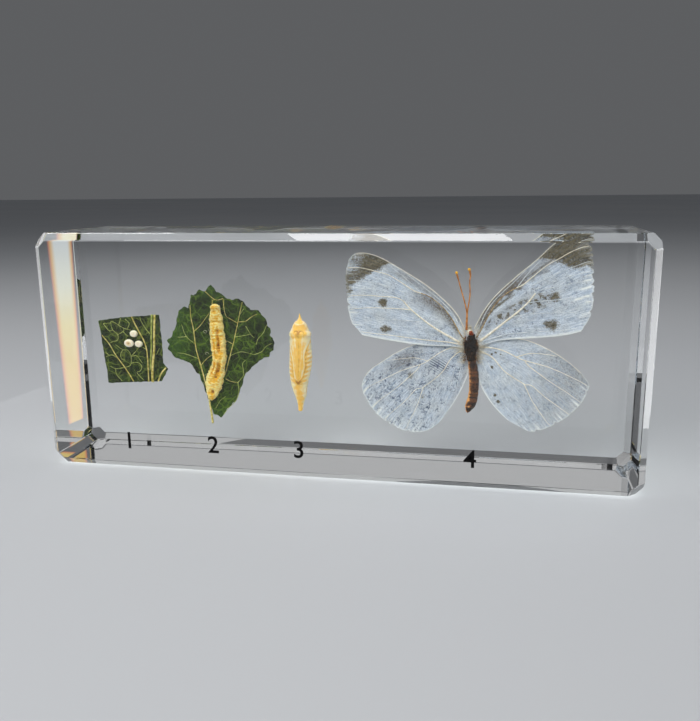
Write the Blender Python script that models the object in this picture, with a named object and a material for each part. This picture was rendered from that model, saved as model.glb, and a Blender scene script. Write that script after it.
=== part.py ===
"""Clear cast-resin block of a classroom life-cycle specimen, standing on its long narrow face.

The block is one solid casting, sawn to size and polished: every edge carries a flat chamfer, every
corner a slightly deeper flat facet, and the arrises between them are rounded by the polishing wheel.
Frame: metres, +Z up, origin at the middle of the face that the block stands on. The viewer looks
along +Y at the large front face, and +X runs along the block's length.
"""

import math

import bmesh
import bpy
from mathutils import Vector

LENGTH = 0.110          # along X
THICKNESS = 0.0275      # along Y, front face to back face
HEIGHT = 0.0445         # along Z
CHAMFER = 0.0013        # how far each edge chamfer cuts into its two faces
CORNER_CUT = 0.0012     # how much further the corner facets cut than the chamfers meet
ARRIS_RADIUS = 0.00016  # softened line between two polished faces
ARRIS_STEPS = 2

RESIN_COLOUR = (0.93, 0.95, 0.94, 1.0)
RESIN_ROUGHNESS = 0.02
RESIN_IOR = 1.5


def clear_scene():
    for item in list(bpy.data.objects):
        bpy.data.objects.remove(item, do_unlink=True)


def resin_material():
    material = bpy.data.materials.new("clear_resin")
    material.use_nodes = True
    shader = material.node_tree.nodes["Principled BSDF"]
    shader.inputs["Base Color"].default_value = RESIN_COLOUR
    shader.inputs["Metallic"].default_value = 0.0
    shader.inputs["Roughness"].default_value = RESIN_ROUGHNESS
    shader.inputs["IOR"].default_value = RESIN_IOR
    shader.inputs["Transmission Weight"].default_value = 1.0
    return material


def sawn_blank():
    """The rectangular casting before any edge is broken, standing on Z = 0."""
    blank = bmesh.new()
    bmesh.ops.create_cube(blank, size=1.0)
    bmesh.ops.scale(blank, vec=(LENGTH, THICKNESS, HEIGHT), verts=blank.verts)
    bmesh.ops.translate(blank, vec=(0.0, 0.0, HEIGHT / 2), verts=blank.verts)
    return blank


def chamfer_edges(block):
    bmesh.ops.bevel(
        block, geom=block.edges[:], offset=CHAMFER, offset_type="OFFSET", segments=1,
        profile=0.5, material=-1, affect="EDGES")


def facet_corners(block):
    """Grind one flat facet across each corner, square to the corner's diagonal."""
    # Three chamfers meet in a triangle whose plane lies 2 * CHAMFER in from the sharp corner,
    # measured as the sum of the three distances; the facet lies CORNER_CUT further in.
    depth = (2 * CHAMFER + CORNER_CUT) / math.sqrt(3)
    for side_x in (-1, 1):
        for side_y in (-1, 1):
            for side_z in (-1, 1):
                outward = Vector((side_x, side_y, side_z)).normalized()
                corner = Vector((
                    side_x * LENGTH / 2, side_y * THICKNESS / 2, HEIGHT / 2 * (1 + side_z)))
                cut = bmesh.ops.bisect_plane(
                    block, geom=block.verts[:] + block.edges[:] + block.faces[:], dist=1e-7,
                    plane_co=corner - outward * depth, plane_no=outward, clear_outer=True)
                rim = [part for part in cut["geom_cut"] if isinstance(part, bmesh.types.BMEdge)]
                bmesh.ops.edgeloop_fill(block, edges=rim)
    bmesh.ops.recalc_face_normals(block, faces=block.faces[:])


def soften_arrises(block):
    bmesh.ops.bevel(
        block, geom=block.edges[:], offset=ARRIS_RADIUS, offset_type="OFFSET",
        segments=ARRIS_STEPS, profile=0.5, material=-1, affect="EDGES")


def resin_block():
    block = sawn_blank()
    chamfer_edges(block)
    facet_corners(block)
    soften_arrises(block)
    mesh = bpy.data.meshes.new("resin_block")
    block.to_mesh(mesh)
    block.free()
    mesh.materials.append(resin_material())
    piece = bpy.data.objects.new("resin_block", mesh)
    bpy.context.collection.objects.link(piece)
    return piece


clear_scene()
resin_block()
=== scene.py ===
import math
import random

import bmesh
import bpy
import numpy as np
from mathutils import Matrix, Vector, noise


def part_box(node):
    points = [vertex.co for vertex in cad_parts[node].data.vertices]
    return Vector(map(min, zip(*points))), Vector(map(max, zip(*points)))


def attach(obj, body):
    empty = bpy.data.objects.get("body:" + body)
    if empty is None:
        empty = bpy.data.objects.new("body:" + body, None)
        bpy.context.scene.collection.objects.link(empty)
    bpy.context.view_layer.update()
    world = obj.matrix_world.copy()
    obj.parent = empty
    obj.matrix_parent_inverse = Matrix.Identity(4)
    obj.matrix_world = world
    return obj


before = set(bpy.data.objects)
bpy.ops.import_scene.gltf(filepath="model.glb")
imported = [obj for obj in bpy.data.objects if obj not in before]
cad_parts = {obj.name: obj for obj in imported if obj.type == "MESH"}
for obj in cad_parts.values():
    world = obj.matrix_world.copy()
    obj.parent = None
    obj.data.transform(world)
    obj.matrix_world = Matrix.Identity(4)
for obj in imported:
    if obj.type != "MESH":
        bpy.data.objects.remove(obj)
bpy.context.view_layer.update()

# A clear resin block with the four stages of a white butterfly sealed in it. The specimens are drawn in
# millimetres as they lie in the block: x from its middle, z up from its base, y from its middle depth,
# with the front face towards -y. place() turns such a point into metres in the frame.

BLOCK_LOW, BLOCK_HIGH = (Vector(corner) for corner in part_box("resin_block"))
BLOCK_MIDDLE = (BLOCK_LOW + BLOCK_HIGH) / 2
MM = 0.001

LEAF_DEPTH = 0.3                # y of the cut square of leaf
WHOLE_LEAF_DEPTH = LEAF_DEPTH + 0.5
PUPA_DEPTH = 0.2
WING_DEPTH = 0.0
THORAX = Vector((25.0, 24.0))   # the point that the wings are drawn from
LEAF_THICKNESS = 0.16
WING_THICKNESS = 0.05
PRINT_PROUD = 0.02              # how far the middle of the ink stands off the block's front face
SEAM_GAP = 2e-7                 # metres: points of a rolled grid that are this close are one
SEALED_GLOSS = 0.06             # a surface set in resin of its own density hardly shines

random.seed(7)


def place(x, z, y=0.0):
    """A point of the specimen drawing, in metres in the frame."""
    return Vector((BLOCK_MIDDLE.x + x * MM, BLOCK_MIDDLE.y + y * MM, BLOCK_LOW.z + z * MM))


def smooth_step(low, high, value):
    """0 below low, 1 above high, and an even ramp between."""
    share = min(max((value - low) / (high - low), 0.0), 1.0)
    return share * share * (3 - 2 * share)


def bell(value, middle, width):
    """A soft hump of height 1 at the middle."""
    return math.exp(-((value - middle) / width) ** 2)


def grain(x, y, seed=0.0, octaves=3):
    """Soft random relief between about -1 and 1, always the same for the same place."""
    return noise.fractal(Vector((x, y, seed)), 1.0, 2.0, octaves)


def smooth_line(points, count):
    """Evenly spaced points on the Catmull-Rom curve through the given ones."""
    given = np.array([tuple(p) for p in points], float)
    given = np.vstack([2 * given[0] - given[1], given, 2 * given[-1] - given[-2]])
    step = np.linspace(0, 1, 24, endpoint=False)[:, None]
    runs = []
    for a, b, c, d in zip(given, given[1:], given[2:], given[3:]):
        runs.append(0.5 * (2 * b + (c - a) * step + (2 * a - 5 * b + 4 * c - d) * step ** 2
                           + (3 * b - a - 3 * c + d) * step ** 3))
    return even_line(np.vstack(runs + [given[-2][None]]), count)


def even_line(points, count):
    """The same line with count evenly spaced points."""
    points = np.array([tuple(p) for p in points], float)
    lengths = np.linalg.norm(np.diff(points, axis=0), axis=1)
    travelled = np.concatenate([[0], np.cumsum(lengths)])
    wanted = np.linspace(0, travelled[-1], count)
    return np.stack([np.interp(wanted, travelled, points[:, k]) for k in range(points.shape[1])], axis=1)


def on_line(line, share):
    """The point at share 0..1 of an evenly spaced line."""
    spot = min(max(share, 0.0), 1.0) * (len(line) - 1)
    below = min(int(spot), len(line) - 2)
    return line[below] + (line[below + 1] - line[below]) * (spot - below)


def profile(stations):
    """A function that reads a value off (place, value) stations, with straight runs between them."""
    places, values = zip(*stations)

    def read(place_along):
        return float(np.interp(place_along, places, values))
    return read


def blunt_ends(share, first, last):
    """1 along a rolled body, and rounded off to 0 over its first and last stretch."""
    return math.sqrt(max(0.0, min(1.0, share / first))) * math.sqrt(max(0.0, min(1.0, (1 - share) / last)))


def on_ball(climb, turn):
    """The unit vector at these angles: climb down from the top, and turn round the upright."""
    return Vector((math.sin(climb) * math.cos(turn), math.sin(climb) * math.sin(turn), math.cos(climb)))


# ---------------------------------------------------------------- shapes

def add_grid(bm, columns, rows, shape):
    """Adds a grid and hands each point and its 0..1 coordinates to shape(vert, u, v), which places it."""
    made = bmesh.ops.create_grid(bm, x_segments=columns, y_segments=rows, size=0.5, calc_uvs=True)["verts"]
    for vert in made:
        shape(vert, vert.co.x + 0.5, vert.co.y + 0.5)
    return made


def faces_of(verts):
    return list({face for vert in verts for face in vert.link_faces})


def thicken(bm, thickness):
    """Turns the faces of an open sheet to the front and gives it its thickness backwards from there."""
    sheet = bm.faces[:]
    bmesh.ops.recalc_face_normals(bm, faces=sheet)
    if sum(face.normal.y for face in sheet) > 0:
        bmesh.ops.reverse_faces(bm, faces=sheet)
    bmesh.ops.solidify(bm, geom=sheet, thickness=thickness * MM)


def add_rolled(bm, columns, rows, shape, material=0):
    """Adds a grid rolled into a closed body: u runs along it, v round it, and its ends shrink to points."""
    made = add_grid(bm, columns, rows, shape)
    before = set(bm.verts) - set(made)
    bmesh.ops.remove_doubles(bm, verts=made, dist=SEAM_GAP)
    faces = faces_of([vert for vert in bm.verts if vert not in before])
    bmesh.ops.recalc_face_normals(bm, faces=faces)
    for face in faces:
        face.material_index = material
    return faces


def add_tube(bm, line, radius, sides=8, material=0, flatness=1.0):
    """Adds a capped tube along a line of frame points. radius(share) is in millimetres."""
    line = [Vector(p) for p in line]
    rings = len(line)
    towards_front = Vector((0, -1, 0))

    def shape(vert, u, v):
        ring = round(u * (rings + 1)) - 1
        at = min(max(ring, 0), rings - 1)
        forward = (line[min(at + 1, rings - 1)] - line[max(at - 1, 0)]).normalized()
        side = forward.cross(towards_front).normalized()
        face = side.cross(forward).normalized()
        width = radius(at / (rings - 1)) * MM if 0 <= ring < rings else 0.0
        turn = 2 * math.pi * v
        vert.co = line[at] + side * math.cos(turn) * width + face * math.sin(turn) * width * flatness
    return add_rolled(bm, rings + 1, sides, shape, material)


def add_hairs(bm, hairs, thickness, material):
    """Adds hairs, each a short list of frame points, as one bevelled curve that tapers to the tips."""
    curve = bpy.data.curves.new("hairs", "CURVE")
    curve.dimensions = "3D"
    curve.bevel_depth = thickness * MM
    curve.bevel_resolution = 0
    curve.use_fill_caps = True
    for hair in hairs:
        spline = curve.splines.new("POLY")
        spline.points.add(len(hair) - 1)
        for index, (point, where) in enumerate(zip(spline.points, hair)):
            point.co = (*where, 1)
            point.radius = 1 - 0.8 * index / (len(hair) - 1)
    carrier = bpy.data.objects.new("hairs", curve)
    mesh = bpy.data.meshes.new_from_object(carrier)
    first = len(bm.faces)
    bm.from_mesh(mesh)
    bm.faces.ensure_lookup_table()
    for face in bm.faces[first:]:
        face.material_index = material
    bpy.data.objects.remove(carrier)
    bpy.data.meshes.remove(mesh)


def finished_piece(bm, name, materials, smooth=True):
    """Turns the bmesh into an object at the origin that rides on the block's body."""
    for face in bm.faces:
        face.smooth = smooth
    mesh = bpy.data.meshes.new(name)
    bm.to_mesh(mesh)
    bm.free()
    for material in materials:
        mesh.materials.append(material)
    piece = bpy.data.objects.new(name, mesh)
    bpy.context.scene.collection.objects.link(piece)
    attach(piece, "root")


# ---------------------------------------------------------------- finishes

def paint(red, green, blue):
    """A screen colour, 0 to 255, as the shader's own linear colour."""
    linear = [((c / 255 + 0.055) / 1.055) ** 2.4 if c > 10 else c / 255 / 12.92 for c in (red, green, blue)]
    return (*linear, 1.0)


class Finish:
    """A named Principled material, with short calls for the nodes that feed it."""

    def __init__(self, name, **constants):
        self.material = bpy.data.materials.new(name)
        self.material.use_nodes = True
        self.tree = self.material.node_tree
        self.shader = self.tree.nodes["Principled BSDF"]
        self.feed(self.shader, {key.replace("_", " "): value for key, value in constants.items()})

    def feed(self, node, inputs):
        for name, value in inputs.items():
            if isinstance(value, bpy.types.NodeSocket):
                self.tree.links.new(value, node.inputs[name])
            else:
                node.inputs[name].default_value = value

    def node(self, kind, inputs, **settings):
        made = self.tree.nodes.new("ShaderNode" + kind)
        for name, value in settings.items():
            setattr(made, name, value)
        self.feed(made, inputs)
        return made

    def space(self, source="Object", stretch=(1000, 1000, 1000)):
        """Coordinates for a texture: millimetres for Object, or the piece's own UV."""
        origin = self.node("TexCoord", {}).outputs[source]
        return self.node("Mapping", {"Vector": origin, "Scale": stretch}).outputs["Vector"]

    def noise(self, space, scale, detail=3.0, roughness=0.6, distortion=0.0):
        inputs = {"Vector": space, "Scale": scale, "Detail": detail, "Roughness": roughness,
                  "Distortion": distortion}
        return self.node("TexNoise", inputs).outputs["Fac"]

    def cells(self, space, scale, feature="F1"):
        return self.node("TexVoronoi", {"Vector": space, "Scale": scale}, feature=feature).outputs["Distance"]

    def warp(self, space, scale, amount):
        """The same coordinates pushed about by noise."""
        shove = self.node("TexNoise", {"Vector": space, "Scale": scale, "Detail": 3.0}).outputs["Color"]
        push = self.node("VectorMath", {0: shove, "Scale": amount}, operation="SCALE").outputs["Vector"]
        return self.node("VectorMath", {0: space, 1: push}, operation="ADD").outputs["Vector"]

    def mark(self, name):
        """A number that the piece's mesh carries at each point."""
        return self.node("Attribute", {}, attribute_name=name).outputs["Fac"]

    def ramp(self, value, low, high, start=0.0, end=1.0):
        inputs = {"Value": value, "From Min": low, "From Max": high, "To Min": start, "To Max": end}
        return self.node("MapRange", inputs, interpolation_type="SMOOTHSTEP").outputs["Result"]

    def sum(self, operation, first, second):
        return self.node("Math", {0: first, 1: second}, operation=operation).outputs[0]

    def blend(self, share, first, second):
        return self.node("Mix", {0: share, 6: first, 7: second}, data_type="RGBA").outputs[2]

    def relief(self, height, depth, strength=1.0):
        """Bumps the surface by the height, depth millimetres deep."""
        inputs = {"Height": height, "Distance": depth * MM, "Strength": strength}
        return self.node("Bump", inputs).outputs["Normal"]

    def wear(self, **inputs):
        """Feeds the shader and hands back the finished material."""
        self.feed(self.shader, {key.replace("_", " "): value for key, value in inputs.items()})
        return self.material


def clear_resin():
    """Polished clear casting resin. Shadow rays pass it, so the lamps reach what is sealed inside."""
    finish = Finish("clear_resin", Base_Color=(0.985, 0.992, 0.99, 1), Roughness=0.0, IOR=1.5,
                    Transmission_Weight=1.0)
    shadow = finish.node("LightPath", {}).outputs["Is Shadow Ray"]
    passing = finish.node("BsdfTransparent", {"Color": (0.86, 0.88, 0.87, 1)}).outputs[0]
    mixed = finish.node("MixShader", {0: shadow, 1: finish.shader.outputs[0], 2: passing})
    output = finish.tree.nodes["Material Output"]
    finish.tree.links.new(mixed.outputs[0], output.inputs["Surface"])
    return finish.material


def wing_scale_coat():
    """Pale blue-white scales: fine streaks along the wing, specks, mottling, soot-brown patches and spots."""
    finish = Finish("wing_scale_coat", Roughness=0.62, Specular_IOR_Level=SEALED_GLOSS)
    body = finish.space()
    wing = finish.space("UV", (9, 95, 1))
    streak = finish.noise(wing, 1.0, 5.0, 0.7)
    thread = finish.noise(finish.space("UV", (6, 240, 1)), 1.0, 3.0, 0.7)
    cloud = finish.noise(body, 0.30, 3.0)
    speck = finish.noise(body, 4.5, 2.0, 0.7)
    pepper = finish.noise(body, 2.2, 3.0, 0.75, 0.5)
    squiggle = finish.noise(body, 1.6, 4.0, 0.75, 1.6)
    pale = finish.blend(finish.ramp(streak, 0.38, 0.63), paint(160, 178, 199), paint(227, 235, 243))
    pale = finish.blend(finish.ramp(cloud, 0.35, 0.7, 0.0, 0.45), pale, paint(204, 208, 206))
    pale = finish.blend(finish.ramp(thread, 0.54, 0.68, 0.0, 0.8), pale, paint(250, 252, 251))
    pale = finish.blend(finish.ramp(speck, 0.54, 0.70, 0.0, 0.6), pale, paint(120, 134, 154))
    pale = finish.blend(finish.ramp(pepper, 0.60, 0.68, 0.0, 0.65), pale, paint(88, 102, 124))
    flecks = finish.cells(finish.space("UV", (26, 34, 1)), 1.0)
    flecks = finish.sum("MULTIPLY", finish.ramp(flecks, 0.13, 0.05), finish.ramp(cloud, 0.42, 0.55))
    pale = finish.blend(finish.sum("MULTIPLY", flecks, 0.8), pale, paint(62, 66, 76))
    threads = finish.sum("MULTIPLY", finish.ramp(squiggle, 0.49, 0.60), finish.mark("mottle"))
    pale = finish.blend(threads, pale, paint(80, 94, 120))
    comb_run = {0: body, 1: (7.6, 0, 13.2)}
    across_comb = finish.node("VectorMath", comb_run, operation="DOT_PRODUCT").outputs["Value"]
    teeth = finish.ramp(finish.sum("SINE", across_comb, 0.0), -0.1, 0.7)
    pale = finish.blend(finish.sum("MULTIPLY", teeth, finish.mark("comb")), pale, paint(66, 76, 104))
    haze = finish.sum("MULTIPLY", finish.ramp(finish.sum("ADD", streak, speck), 0.82, 1.14, 0.45, 1.0),
                      finish.mark("dusk"))
    pale = finish.blend(haze, pale, paint(100, 90, 76))
    ragged = finish.sum("ADD", finish.mark("soot"), finish.ramp(speck, 0.25, 0.75, -0.25, 0.25))
    ragged = finish.sum("ADD", ragged, finish.ramp(streak, 0.25, 0.75, -0.26, 0.26))
    soot = finish.blend(finish.ramp(streak, 0.36, 0.64), paint(50, 44, 32), paint(120, 112, 90))
    soot = finish.blend(finish.ramp(pepper, 0.52, 0.66, 0.0, 0.6), soot, paint(140, 134, 114))
    coat = finish.blend(finish.ramp(ragged, 0.22, 0.86), pale, soot)
    # Near white by the rim mark: pale fringe scales at the margin, and painted glow and painted gleams along
    # the wing's edges.
    coat = finish.blend(finish.mark("rim"), coat, paint(246, 249, 244))
    bumps = finish.sum("ADD", streak, finish.sum("MULTIPLY", speck, 0.6))
    return finish.wear(Base_Color=coat, Normal=finish.relief(bumps, 0.09, 0.9))


def wing_vein(name, light, dark):
    """A dry vein, lighter and darker along its length."""
    finish = Finish(name, Roughness=0.5, Specular_IOR_Level=SEALED_GLOSS)
    tone = finish.noise(finish.space(), 1.6, 4.0)
    return finish.wear(Base_Color=finish.blend(finish.ramp(tone, 0.35, 0.68), dark, light),
                       Normal=finish.relief(tone, 0.04))


def hair(name, light, dark):
    """Fine down, lighter and darker in drifts."""
    finish = Finish(name, Roughness=0.55, Specular_IOR_Level=SEALED_GLOSS)
    tone = finish.noise(finish.space(), 2.4, 2.0)
    return finish.wear(Base_Color=finish.blend(finish.ramp(tone, 0.38, 0.62), dark, light))


def dry_leaf(name, deep, fresh, net, mesh):
    """A pressed green leaf. Its finest net of veins has meshes that are mesh millimetres across. The piece
    carries how much each point belongs to the raised net and how pale it is."""
    finish = Finish(name, Roughness=0.48, Specular_IOR_Level=SEALED_GLOSS)
    body = finish.space()
    patches = finish.noise(body, 0.55, 4.0, 0.65, 0.6)
    fine = finish.noise(body, 3.2, 4.0, 0.7)
    pits = finish.noise(body, 2.4, 4.0, 0.8, 0.8)
    bronze = finish.noise(body, 0.9, 3.0, 0.6, 1.0)
    bent = finish.warp(body, 0.7, 0.8)
    coarse_net = finish.ramp(finish.cells(bent, 1 / mesh, "DISTANCE_TO_EDGE"), 0.07, 0.035, 0.0, 0.55)
    fine_net = finish.ramp(finish.cells(bent, 2.2 / mesh, "DISTANCE_TO_EDGE"), 0.10, 0.05, 0.0, 0.22)
    blade = finish.blend(finish.ramp(patches, 0.38, 0.62), deep, fresh)
    blade = finish.blend(finish.sum("MULTIPLY", finish.mark("pale"), 0.7), blade, paint(52, 88, 18))
    blade = finish.blend(finish.ramp(bronze, 0.58, 0.78, 0.0, 0.6), blade, paint(46, 48, 2))
    blade = finish.blend(finish.ramp(fine, 0.56, 0.74, 0.0, 0.5), blade, paint(62, 98, 16))
    blade = finish.blend(finish.ramp(pits, 0.54, 0.64, 0.0, 0.8), blade, paint(6, 12, 0))
    fade = finish.ramp(patches, 0.35, 0.62, 0.25, 1.0)
    lines = finish.sum("MAXIMUM", finish.sum("MULTIPLY", finish.mark("net"), 0.35),
                       finish.sum("MAXIMUM", coarse_net, fine_net))
    colour = finish.blend(finish.sum("MULTIPLY", lines, fade), blade, net)
    height = finish.sum("ADD", fine, finish.sum("MULTIPLY", lines, 0.6))
    return finish.wear(Base_Color=colour, Roughness=finish.ramp(fine, 0.3, 0.7, 0.38, 0.62),
                       Normal=finish.relief(height, 0.12, 0.9))


def dried_skin(name, light, middle, dark, grain_scale, depth, mottling=0.18):
    """Dried insect skin coloured by the deep mark: brown markings, painted shade in the creases and painted
    highlight on the ridges.
    """
    finish = Finish(name, Roughness=0.42, Specular_IOR_Level=0.2, Subsurface_Weight=0.12,
                    Subsurface_Scale=0.0006)
    body = finish.space()
    tone = finish.noise(body, grain_scale, 5.0, 0.65)
    broad = finish.noise(body, 0.5, 2.0)
    crease = finish.sum("ADD", finish.mark("deep"), finish.ramp(tone, 0.3, 0.7, -mottling, mottling))
    colour = finish.blend(finish.ramp(crease, 0.02, 0.36), light, middle)
    colour = finish.blend(finish.ramp(crease, 0.42, 0.95), colour, dark)
    colour = finish.blend(finish.ramp(broad, 0.4, 0.7, 0.0, 2 * mottling), colour, middle)
    return finish.wear(Base_Color=colour, Roughness=finish.ramp(tone, 0.3, 0.7, 0.34, 0.56),
                       Normal=finish.relief(tone, depth))


def plain_coat(name, colour, other, scale, roughness, depth=0.03):
    """A small hard part: two close tones broken up by fine grain."""
    finish = Finish(name, Roughness=roughness, Specular_IOR_Level=SEALED_GLOSS)
    tone = finish.noise(finish.space(), scale, 3.0)
    return finish.wear(Base_Color=finish.blend(finish.ramp(tone, 0.36, 0.66), colour, other),
                       Normal=finish.relief(tone, depth))


RESIN = clear_resin()
SCALES = wing_scale_coat()
CREAM_VEIN = wing_vein("cream_wing_vein", paint(255, 250, 234), paint(222, 214, 194))
PALE_VEIN = wing_vein("pale_wing_vein", paint(232, 236, 236), paint(180, 190, 200))
GOLD_VEIN = wing_vein("gold_wing_vein", paint(204, 180, 132), paint(128, 104, 70))
CREAM_DOWN = hair("cream_down", paint(244, 238, 222), paint(196, 186, 160))
GOLD_DOWN = hair("gold_down", paint(150, 104, 48), paint(60, 36, 14))
SQUARE_LEAF = dry_leaf("cut_leaf_green", paint(7, 18, 0), paint(24, 46, 2), paint(124, 140, 50), 1.9)
WHOLE_LEAF = dry_leaf("whole_leaf_green", paint(8, 20, 0), paint(30, 54, 1), paint(112, 142, 34), 1.7)
LEAF_RIB = wing_vein("leaf_rib", paint(244, 228, 148), paint(170, 156, 62))
GREEN_RIB = wing_vein("green_leaf_rib", paint(186, 194, 112), paint(132, 144, 62))
LARVA_SKIN = dried_skin("larva_skin", paint(255, 236, 152), paint(240, 184, 40), paint(152, 96, 2), 2.8, 0.22)
PUPA_SHELL = dried_skin("pupa_shell", paint(255, 238, 192), paint(248, 198, 92), paint(184, 126, 46),
                        1.3, 0.05, 0.07)
EGG_SHELL = dried_skin("egg_shell", paint(252, 244, 222), paint(232, 208, 160), paint(170, 124, 62),
                       2.5, 0.04, 0.06)
THORAX_COAT = plain_coat("thorax_coat", paint(8, 6, 5), paint(34, 22, 12), 2.5, 0.6, 0.08)
ABDOMEN_SKIN = dried_skin("abdomen_skin", paint(226, 164, 94), paint(108, 64, 32), paint(24, 16, 10),
                          2.0, 0.08)
EYE = plain_coat("eye", paint(124, 44, 8), paint(170, 76, 20), 3.0, 0.3)
ANTENNA = plain_coat("antenna", paint(206, 136, 62), paint(150, 90, 36), 1.6, 0.5)
ANTENNA_TIP = plain_coat("antenna_tip", paint(250, 196, 62), paint(226, 160, 40), 3.0, 0.4)
INK = plain_coat("black_print", paint(14, 14, 15), paint(22, 22, 23), 6.0, 0.5, 0.004)


# ---------------------------------------------------------------- leaves

PALE_RIB, GREEN_NET = 1, 2      # the veins' places in a leaf's list of materials


def outline_inside(outline, points):
    """Which of the points lie inside the closed outline."""
    x, z = points[:, 0], points[:, 1]
    inside = np.zeros(len(points), bool)
    for (x1, z1), (x2, z2) in zip(outline, np.roll(outline, -1, axis=0)):
        if z1 != z2:
            crossed = (z1 > z) != (z2 > z)
            inside ^= crossed & (x < (x2 - x1) * (z - z1) / (z2 - z1) + x1)
    return inside


def net_strength(x, z, cell, width, seed):
    """1 on the veins of a leaf's net, whose meshes are about cell millimetres across, and 0 inside them."""
    bend = 0.35 * cell
    x += bend * grain(x / cell, z / cell, seed, 2)
    z += bend * grain(x / cell, z / cell, seed + 9, 2)
    near = noise.voronoi(Vector((x / cell, z / cell, seed)))[0]
    return 1 - smooth_step(width * 0.4, width, (near[1] - near[0]) * cell)


def leaf_blade(bm, outline, fineness, depth, cells, wrinkle, pale):
    """Adds a dried blade trimmed to its outline, with its net of veins raised on it."""
    net_layer = bm.verts.layers.float.new("net")
    pale_layer = bm.verts.layers.float.new("pale")
    low, high = outline.min(axis=0), outline.max(axis=0)
    size = high - low

    def shape(vert, u, v):
        vert.co = (low[0] + size[0] * u, 0, low[1] + size[1] * v)
    verts = add_grid(bm, int(size[0] / fineness), int(size[1] / fineness), shape)
    inside = outline_inside(outline, np.array([(v.co.x, v.co.z) for v in verts]))
    bmesh.ops.delete(bm, geom=[v for v, kept in zip(verts, inside) if not kept], context="VERTS")
    bmesh.ops.delete(bm, geom=[v for v in bm.verts if not v.link_faces], context="VERTS")
    rim = even_line(np.vstack([outline, outline[:1]]), 1600)
    for vert in bm.verts:
        if vert.is_boundary:
            nearest = rim[np.argmin(np.hypot(rim[:, 0] - vert.co.x, rim[:, 1] - vert.co.z))]
            vert.co = (nearest[0], 0, nearest[1])
    for vert in bm.verts:
        x, z = vert.co.x, vert.co.z
        net = max(net_strength(x, z, size, width, seed) * weight for size, width, weight, seed in cells)
        vert[net_layer] = net
        vert[pale_layer] = pale(x, z)
        vert.co = place(x, z, depth + wrinkle(x, z) - 0.07 * net)
    thicken(bm, LEAF_THICKNESS)


def rib(bm, points, thick, thin, surface, material, lift=0.06):
    """Adds a leaf vein that stands out of both faces and tapers from thick to thin."""
    line = smooth_line(points, 6 + 5 * len(points))
    for out in (-lift, LEAF_THICKNESS + lift):
        track = [place(x, z, surface(x, z) + out) for x, z in line]
        add_tube(bm, track, lambda share: thick + (thin - thick) * share, 8, material)


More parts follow.
